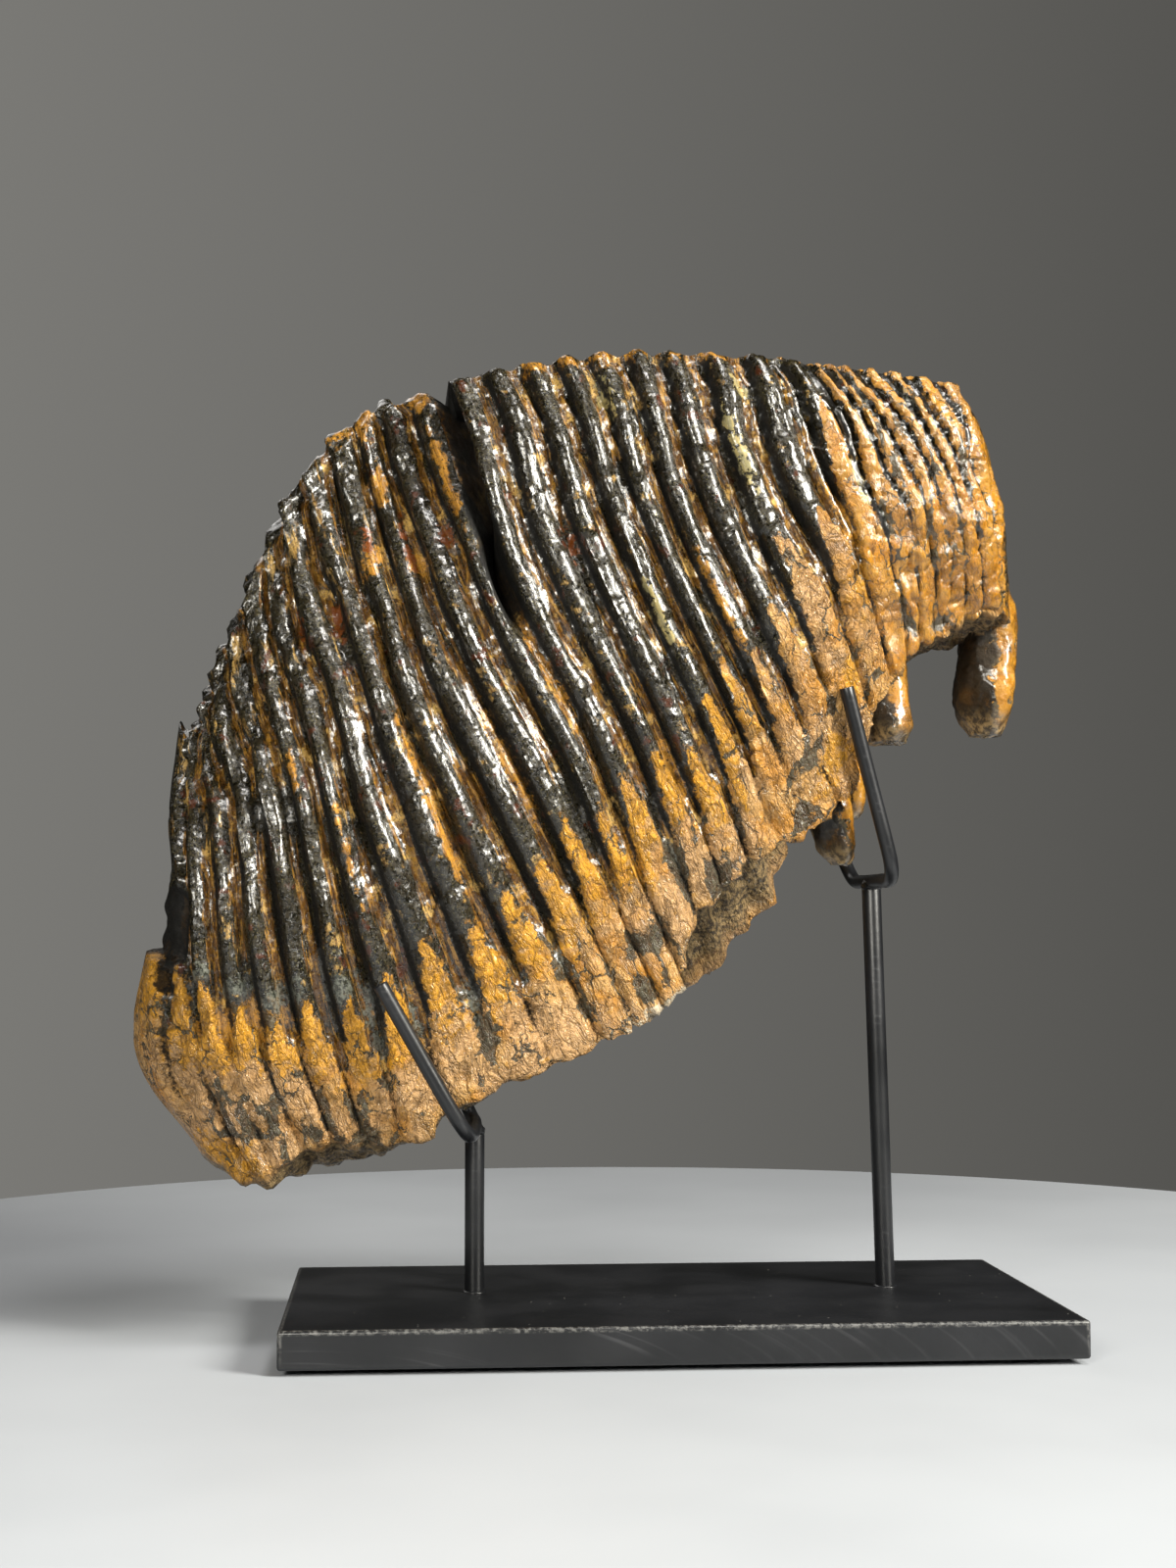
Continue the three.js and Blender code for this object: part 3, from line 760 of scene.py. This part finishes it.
    # painted shade: the deep crack, the pocket and the recess under the rim are painted black
    crack_shade = 1 - smooth(0.29, 0.4, from_crack)
    crack_shade = crack_shade * (1 - smooth(CRACK_END - 0.06, CRACK_END, v)) * (1 - on_under)
    under_rim_shade = hump(0.36, 0.42, 0.555, 0.563, v) * (1 - smooth(0, 0.4, u)) * on_face * (side < 0)
    for place in (crack_shade, smooth(0.1, 0.4, pocket), under_rim_shade):
        hollow = np.maximum(hollow, place)
    gloss = smooth(19.5, 22.5, u) * (1 - on_under)
    seams = smooth(0.3, 0.46, w) * smooth(-0.3, 0.3, lumps(strip, 0.8, 57)) * root
    seams = seams * (1 - smooth(0.85, 1, v))
    dark, gold, red, pale = (marked(m, u, v, side) for m in (DARK_MARKS, GOLD_MARKS, RED_MARKS, PALE_MARKS))
    dark = np.maximum(dark, (0.33 + 0.27 * smooth(5, 8, u)) * seams)
    # depth carries the hollow mask of painted shade and black filling, the gloss, and a third channel that
    # the roots use for painted shade
    facts = {"lay": [phase, v, side], "depth": [hollow, gloss, np.zeros_like(u)],
             "tone": [root, in_strip, broken], "marks": [dark, np.maximum(tips, gold), red - pale]}
    grid = np.clip(points + out * relief[:, None], *TOOTH_BOX)
    return grid, {name: np.stack(columns, axis=1) for name, columns in facts.items()}, rows


def ring_faces(rows):
    """Faces between neighbouring rings, and each end closed from its front edge to its back edge."""
    r, k = np.meshgrid(np.arange(rows - 1), np.arange(RING), indexing="ij")
    a, b = (r * RING + k).ravel(), (r * RING + (k + 1) % RING).ravel()
    quads = np.stack([a, a + RING, b + RING, b], axis=1).tolist()
    last = (rows - 1) * RING
    for k in range(HALF_RING):
        a, b, c, d = k, k + 1, RING - k - 1, (RING - k) % RING
        first = [i for i in dict.fromkeys((a, b, c, d))]
        quads.append(first)
        quads.append([last + i for i in reversed(first)])
    return quads


def skin(name, points, faces):
    """A mesh in the frame from points in millimetres."""
    mesh = bpy.data.meshes.new(name)
    placed = (np.asarray(points) + [BASE_MIDDLE.x / MM, BASE_MIDDLE.y / MM, 0]) * MM
    mesh.from_pydata(placed.tolist(), [], faces)
    mesh.update()
    piece = bpy.data.objects.new(name, mesh)
    bpy.context.collection.objects.link(piece)
    return piece


# roots: centre line from inside the body to the tip, with half the width and half the depth there
ROOTS = {
    "prong": ([(93.5, 8, 226), (95.2, 8, 205), (95.2, 8, 190), (95.2, 8, 177), (95.2, 8, 169.3)],
              [(6, 9), (8.2, 12), (8.1, 12), (7.8, 11), (4.6, 6)]),
    "stub": ([(55, -8, 205), (58.5, -10, 190), (60, -10, 177), (61.5, -10, 169), (62, -10, 165.5)],
             [(6, 10), (8, 13), (7.5, 13), (7.8, 12.5), (5.5, 9)]),
    "lobe": ([(36, -8, 172), (41, -10, 158), (45, -11, 145), (47.5, -12, 135), (48.5, -12, 131)],
             [(7, 10), (7.5, 12), (6.5, 10), (5, 8), (2.5, 4)]),
    "back_lobe": ([(48, 22, 178), (54, 24, 165), (57, 25, 155), (58, 25, 149), (58, 25, 146)],
                  [(6, 9), (6.5, 10), (5.5, 9), (4.5, 7), (2.5, 4)]),
}
ROOT_SIDES, ROOT_RINGS = 56, 44


def root_post(name):
    """A root: rings pulled along its centre line, lumpy, with a broken, pitted end."""
    line, halves = ROOTS[name]
    marks = np.linspace(0, 1, len(line))
    t = np.linspace(0, 1, ROOT_RINGS)
    centre = np.stack([through(marks, [p[axis] for p in line], t) for axis in range(3)], axis=1)
    half = np.stack([through(marks, [h[axis] for h in halves], t) for axis in range(2)], axis=1)
    angle = np.linspace(0, 2 * np.pi, ROOT_SIDES, endpoint=False)
    lump = 1 + 0.1 * np.sin(7 * t[:, None] + 3 * angle[None, :])
    x = centre[:, None, 0] + lump * half[:, None, 0] * np.cos(angle)
    y = centre[:, None, 1] + lump * half[:, None, 1] * np.sin(angle)
    z = np.repeat(centre[:, 2:3], ROOT_SIDES, axis=1)
    points = np.stack([x, y, z], axis=2).reshape(-1, 3)
    out = points - np.repeat(centre, ROOT_SIDES, axis=0)
    out /= np.linalg.norm(out, axis=1, keepdims=True)
    points = points + out * (0.7 * lumps(points, 6, 3, 2) + 0.25 * lumps(points, 2.2, 8))[:, None]
    sides = [(i, (i + 1) % ROOT_SIDES) for i in range(ROOT_SIDES)]
    faces = []
    # two inner rings close each end over its middle
    last = (ROOT_RINGS - 1) * ROOT_SIDES
    for ring, order in ((0, 1), (last, -1)):
        rim = points[ring:ring + ROOT_SIDES]
        heart = rim.mean(axis=0)
        for share in (0.66, 0.33):
            inner = heart + (rim - heart) * share
            inner[:, 2] += 1.3 * lumps(inner, 2.6, 6)
            start = len(points)
            points = np.concatenate([points, inner])
            faces += [[ring + i, ring + j, start + j, start + i][::-order] for i, j in sides]
            ring = start
        points = np.concatenate([points, heart[None, :]])
        faces += [[ring + i, ring + j, len(points) - 1][::-order] for i, j in sides]
    for a in range(0, last, ROOT_SIDES):
        b = a + ROOT_SIDES
        faces += [[a + i, a + j, b + j, b + i][::-1] for i, j in sides]
    ones = np.ones(len(points))
    down = (points[:, 2] - centre[-1, 2]) / (centre[0, 2] - centre[-1, 2])
    # painted shade and light: each root's side turned from the key light is painted dark, and its lit right
    # side is painted gold through the marks
    facing = (points[:, 0] - through(marks, [p[0] for p in line], clamp(1 - down))) / half[:, 0].max()
    left_side_shade = smooth(0.3, -0.3, facing + 0.3 * lumps(points, 6, 71))
    turned = np.arctan2(points[:, 1] - TOOTH_MIDDLE, points[:, 0])
    facts = {"lay": [2 + 0.3 * turned, 0.9 + 0.1 * (1 - down), -ones], "depth": [0 * ones, ones, left_side_shade],
             "tone": [ones, 0 * ones, 1 - smooth(0, 0.16, down)],
             "marks": [left_side_shade, 0.5 * smooth(0, 0.6, facing), 0 * ones]}
    return points, faces, {name: np.stack(columns, axis=1) for name, columns in facts.items()}


def build_tooth(material):
    points, facts, rows = tooth_surface()
    tooth = skin("molar", points, ring_faces(rows))
    sources = [(points, facts)]
    for name in ROOTS:
        root_points, faces, root_facts = root_post(name)
        root = skin(name, root_points, faces)
        turn_faces_outwards(root)
        apply_modifier(tooth, "BOOLEAN", operation="UNION", solver="MANIFOLD", object=root)
        bpy.data.objects.remove(root)
        sources.append((root_points, root_facts))
    spread_facts(tooth, sources)
    smooth_shaded(tooth, 80)
    finished(tooth, "molar", material, "tooth")


def spread_facts(tooth, sources):
    """Gives each point of the joined tooth the facts of the nearest point it was made from."""
    points = np.concatenate([source[0] for source in sources])
    tree = KDTree(len(points))
    for i, point in enumerate(points.tolist()):
        tree.insert(point, i)
    tree.balance()
    mesh = tooth.data
    offset = Vector((BASE_MIDDLE.x / MM, BASE_MIDDLE.y / MM, 0))
    nearest = [tree.find(vertex.co / MM - offset)[1] for vertex in mesh.vertices]
    for fact in sources[0][1]:
        values = np.concatenate([source[1][fact] for source in sources])
        new = mesh.attributes.new(fact, "FLOAT_VECTOR", "POINT")
        new.data.foreach_set("vector", values[nearest].astype(float).ravel())


# ---------------- the tooth's finish
# how far the finish's own wrinkles stand out, in metres, on the lacquer and on the fossil under it
LACQUER_RELIEF, BONE_RELIEF = 0.0009, 0.0012


def fossil_finish():
    """Lacquered fossil: black speckled plates, brown cement between them and an ochre, crazed root zone."""
    f = Finish("lacquered_fossil")
    place, lay = f.place(), f.attribute("lay")
    u, v, _ = f.split(lay)
    root, cement, broken = f.split(f.attribute("tone"))
    dark_marks, gold_marks, red_marks = f.split(f.attribute("marks"))
    # hollow is painted shade and black filling; the third depth channel is painted shade on the roots' left
    # sides
    hollow, gloss, left_shade_mask = f.split(f.attribute("depth"))

    def frayed(amount, noise_value, reach):
        """amount pushed up and down by the noise, so that its outline wanders."""
        return f.plus(amount, f.between(noise_value, 0.3, 0.7, -reach, reach))

    def veil(amount, noise_value, reach):
        """amount with a frayed outline: full inside, and broken up by the noise near its rim."""
        inside = f.between(frayed(amount, noise_value, reach), 0.42, 0.62)
        return f.times(inside, f.between(amount, 0, 0.25))

    fine = f.noise(place, 900, detail=4, rough=0.65)
    middle = f.noise(place, 300, detail=5, rough=0.7)
    speck = f.noise(place, 1900, detail=3, rough=0.7)
    cloud = f.noise(place, 80, detail=3, rough=0.6)
    patch = f.noise(f.moved(place, (3, 1, 7)), 150, detail=4, rough=0.65)
    fibre = f.noise(f.stretch(lay, 11, 30, 1), 1, detail=3, rough=0.6, distort=0.6)
    streak = f.noise(f.stretch(lay, 14, 12, 1), 1, detail=4, rough=0.6)
    # fine wrinkles in the lacquer wander like worm tracks
    worm = f.from_middle(f.noise(f.moved(place, (9, 2, 4)), 1000, detail=1, distort=0.9), 0.045, 0)

    # black plates: olive flecks, ochre streaks that gather in the upper left, and a little rust
    upper_left = f.times(f.between(u, 14, 8), f.between(v, 0.5, 0.15))
    black = f.blend(fine, "#0b0902", "#261f0d", 0.4, 0.62)
    flecked = f.times(f.between(speck, 0.575, 0.635), f.between(cloud, 0.35, 0.65, 0.2, 1))
    black = f.mix(flecked, black, "#686040")
    drawn = f.noise(f.stretch(lay, 3.5, 10, 1), 1, detail=4, rough=0.65)
    ochre = f.mix(upper_left, patch, f.plus(drawn, 0.05))
    black = f.mix(f.times(f.between(ochre, 0.61, 0.67), f.between(fine, 0.34, 0.5, 0.2, 0.9)),
                  black, f.blend(streak, "#6f5020", "#b39255"))
    rust = f.noise(f.moved(place, (11, 5, 2)), 150, detail=4, rough=0.6)
    black = f.blend(rust, black, "#43200a", 0.61, 0.66)

    # cement: brown, drawn out along the plates
    brown = f.blend(streak, "#1f1204", "#63400f", 0.36, 0.6)
    brown = f.blend(fibre, brown, "#99702c", 0.5, 0.6)
    brown = f.blend(patch, brown, "#c29c55", 0.55, 0.66)

    # root zone: ochre and tan clouds, gold at the marks, amber under the thick lacquer of the right end
    orange = f.mix(f.between(f.noise(place, 110, detail=4, rough=0.6), 0.42, 0.6), "#bf9459", "#bb8130")
    tan = f.noise(f.moved(place, (5, 9, 1)), 60, detail=3)
    orange = f.mix(f.between(tan, 0.42, 0.6, 0, 0.85), orange, "#c1996a")
    grain = f.noise(f.stretch(lay, 9, 40, 1), 1, detail=5, rough=0.7, distort=0.8)
    orange = f.mix(f.between(grain, 0.5, 0.68, 0, 0.5), orange, "#8a6428")
    golden = f.between(frayed(gold_marks, middle, 0.6), 0.3, 0.8)
    orange = f.mix(f.times(golden, 0.85), orange, "#cc9018")
    amber = f.blend(patch, "#ae7c2c", "#b97806", 0.42, 0.6)
    amber = f.mix(f.between(cloud, 0.5, 0.62, 0, 0.7), amber, "#8a5a18")
    orange = f.mix(f.times(gloss, f.between(v, 0, 0.5, 0.6, 0.9)), orange, amber)
    # cracks widen, narrow and die out along their length, and open into dark veins at the marks
    warp = f.stretch(f.noise(place, 150, detail=4, rough=0.6, out="Color"), 1.3, 1.3, 0)
    crazing = f.cells(f.moved(f.stretch(lay, 1.6, 12, 3), warp), 1, feature="DISTANCE_TO_EDGE")
    width = f.between(f.noise(f.moved(place, (7, 7, 3)), 95, detail=3, rough=0.6), 0.46, 0.68, 0, 0.055)
    width = f.plus(width, f.times(dark_marks, f.between(middle, 0.3, 0.7, 0.05, 0.5)))
    crack = f.math("SUBTRACT", 1, f.math("DIVIDE", crazing, f.most(width, 0.001)), clamp=True)
    crack = f.between(crack, 0, 0.45)
    hair = f.cells(f.moved(f.stretch(lay, 3.4, 24, 5), warp), 1, feature="DISTANCE_TO_EDGE")
    hair = f.times(f.between(hair, 0.06, 0.012), f.between(cloud, 0.36, 0.54))
    vein = f.blend(fine, "#1d1b12", "#4c4b3c")
    orange = f.mix(f.times(crack, 0.95), orange, vein)
    lines = f.most(hair, f.times(worm, f.between(patch, 0.46, 0.62, 0, 0.9)))
    orange = f.mix(f.times(lines, 0.5), orange, "#3d2a10")
    crack = f.most(crack, lines)
    # the bone is crumpled like paper: folds along the plates, and smaller ones every way
    folds = f.noise(f.stretch(lay, 3.6, 20, 2), 1, detail=4, rough=0.6, distort=0.5)
    folds = f.from_middle(folds, 0, 0.09)
    small_folds = f.from_middle(f.noise(f.moved(place, (2, 6, 8)), 330, detail=3, rough=0.6), 0, 0.09)
    # painted shade: the colour darkens along the creases of the folds, large and small
    fold_shade = f.times(f.between(folds, 0.35, 0), f.between(patch, 0.35, 0.6, 0.3, 1))
    orange = f.mix(f.times(fold_shade, 0.55), orange, "#4a3213")
    orange = f.mix(f.between(small_folds, 0.3, 0, 0, 0.25), orange, "#6b4a1c")
    # painted shade on the roots' left sides, turned from the key light
    left_side_shade = f.blend(grain, "#080502", "#261a08")
    orange = f.mix(f.times(f.between(frayed(left_shade_mask, middle, 0.4), 0.35, 0.65), 0.9), orange, left_side_shade)
    torn = f.noise(place, 520, detail=4, rough=0.7)
    orange = f.mix(broken, orange, f.blend(torn, "#453a2c", "#9a8158"))

    # the crown and the root zone meet along a frayed line, and the marks lie over both
    rooted = veil(root, middle, 0.45)
    crown = f.mix(veil(cement, streak, 0.4), black, brown)
    gilt = f.blend(streak, "#875a16", "#c48c34")
    crown = f.mix(f.times(golden, f.between(gold_marks, 0, 0.2, 0, 0.9)), crown, gilt)
    crown = f.mix(f.times(worm, 0.9), crown, "#040301")
    chips = f.blend(fine, "#26281f", "#64665c")
    crown = f.mix(f.times(veil(dark_marks, middle, 0.7), 0.85), crown, chips)
    colour = f.mix(rooted, crown, orange)
    colour = f.mix(veil(red_marks, middle, 0.8), colour, "#6a360d")
    pale = f.blend(streak, "#8f865f", "#b8a468")
    pale = f.blend(v, pale, "#c9bca4", 0.9, 0.94)
    pale_marks = f.times(red_marks, -1)
    colour = f.mix(f.times(veil(pale_marks, middle, 0.8), 0.8), colour, pale)
    # the gaps, the right end's grooves, the furrows, the crack, the pocket and the recess under the rim are
    # painted near black: partly black filling, partly painted shade
    gap_shade = f.between(frayed(hollow, fine, 0.25), 0.3, 0.8)
    colour = f.mix(f.times(gap_shade, 0.95), colour, "#050402")

    rough = f.between(fine, 0.35, 0.65, 0.2, 0.4)
    rough = f.plus(rough, f.times(rooted, f.between(gloss, 0, 1, 0.16, 0)))
    rough = f.plus(rough, f.times(f.most(f.most(broken, left_shade_mask), gap_shade), 0.4))
    coat = f.times(f.between(rooted, 0, 1, 0.9, 0.4), f.between(gap_shade, 0, 1, 1, 0))
    coat = f.most(coat, f.times(gloss, f.between(left_shade_mask, 0.3, 0.8, 1, 0.1)))
    f.set(Base_Color=colour, Roughness=rough, Coat_Weight=coat)
    f.shader.inputs["Specular IOR Level"].default_value = 0.3
    f.shader.inputs["Coat Roughness"].default_value = 0.08
    # the lacquer follows the larger wrinkles; the bare-looking root under it is rougher
    depth = f.plus(f.times(f.noise(place, 300, detail=1), 0.5), f.times(fibre, 0.14))
    depth = f.times(depth, f.between(f.times(gloss, rooted), 0, 1, 1, 0.9))
    scratches = f.plus(f.times(worm, 0.04), f.times(crack, rooted, 0.3))
    depth = f.math("SUBTRACT", depth, f.times(scratches, f.between(gloss, 0, 1, 1, 0.2)))
    crumpled = f.plus(f.times(folds, 0.5), f.times(small_folds, 0.22))
    depth = f.plus(depth, f.times(crumpled, rooted, f.between(gloss, 0, 1, 0.8, 0.05)))
    f.set(Coat_Normal=f.bump(depth, LACQUER_RELIEF))
    rougher = f.plus(middle, f.times(grain, 0.5))
    depth = f.plus(depth, f.times(rougher, f.between(rooted, 0, 1, 0.1, 0.6)))
    f.set(Normal=f.bump(depth, BONE_RELIEF))
    return f.material


# ---------------- floor, light and camera
def tabletop():
    """A round pale table, its rim eased: a cylinder scaled to an oval."""
    table = cylinder(from_base(2, 0, -10), 1, 0.02, vertices=256, scale=(0.38, 0.45, 1))
    table.name = "tabletop"
    ease_edges(table, 4, 4)
    smooth_shaded(table)
    f = Finish("pale_table")
    f.set(Base_Color=f.mix(f.between(f.noise(f.place(), 9, detail=3), 0.3, 0.7), "#b1b5bb", "#abafb5"))
    f.set(Roughness=0.45)
    table.data.materials.append(f.material)


def softbox(name, away, width, height, power, colour):
    """A lamp so far away from the middle of the tooth, in metres, and turned to it."""
    target = from_base(-15, 4, 150)
    light = bpy.data.lights.new(name, "AREA")
    light.shape = "RECTANGLE"
    light.size, light.size_y = width, height
    light.energy = power
    light.color = colour
    lamp = bpy.data.objects.new(name, light)
    lamp.location = target + Vector(away)
    lamp.rotation_euler = (target - lamp.location).to_track_quat("-Z", "Y").to_euler()
    bpy.context.collection.objects.link(lamp)


def backdrop():
    """A plain grey wall far away, painted a little lighter to the left as light falling on it."""
    world = bpy.data.worlds.new("grey_wall")
    bpy.context.scene.world = world
    n = Nodes(world)
    across = n.split(n.add("ShaderNodeTexCoord", out="Generated"))[0]
    # painted light: the wall brightens towards the left
    wall_light_left = n.add("ShaderNodeMapRange", From_Min=-0.3, From_Max=0.4, Value=across)
    # the wall is bright enough to be seen but sends little light back to the object
    seen = n.add("ShaderNodeMapRange", To_Min=0.12, Value=n.add("ShaderNodeLightPath", out="Is Camera Ray"))
    wall = n.add("ShaderNodeBackground", Color=n.mix(wall_light_left, "#81807c", "#4e4d4a"), Strength=seen)
    n.add("ShaderNodeOutputWorld", Surface=wall)


def studio():
    tabletop()
    backdrop()
    warm = (1, 0.97, 0.88)
    softbox("key", (0.95, -0.75, 0.6), 0.4, 0.5, 40, warm)
    softbox("front", (-0.55, -1.2, 0.4), 0.4, 0.3, 14, warm)
    softbox("overhead", (0.3, -0.4, 1.15), 0.4, 0.3, 9, (1, 0.97, 0.92))
    softbox("back", (-0.5, 1, 1), 0.8, 0.8, 3.5, (1, 0.98, 0.95))


def camera():
    """Level with the middle of the base's posts, turned a little to the right and up."""
    lens = bpy.data.cameras.new("camera")
    eye = bpy.data.objects.new("camera", lens)
    bpy.context.collection.objects.link(eye)
    lens.lens, lens.sensor_width, lens.sensor_fit = 51.4, 36, "AUTO"
    lens.clip_start, lens.clip_end = 0.01, 100
    eye.location = from_base(-71.7, -632.5, 112)
    turn, lift = math.radians(4.51), math.radians(3.8)
    forward = Vector((math.sin(turn) * math.cos(lift), math.cos(turn) * math.cos(lift), math.sin(lift)))
    eye.rotation_euler = forward.to_track_quat("-Z", "Y").to_euler()
    bpy.context.scene.camera = eye


build_stand()
build_tooth(fossil_finish())
studio()
camera()
bpy.context.scene.view_settings.view_transform = "Standard"
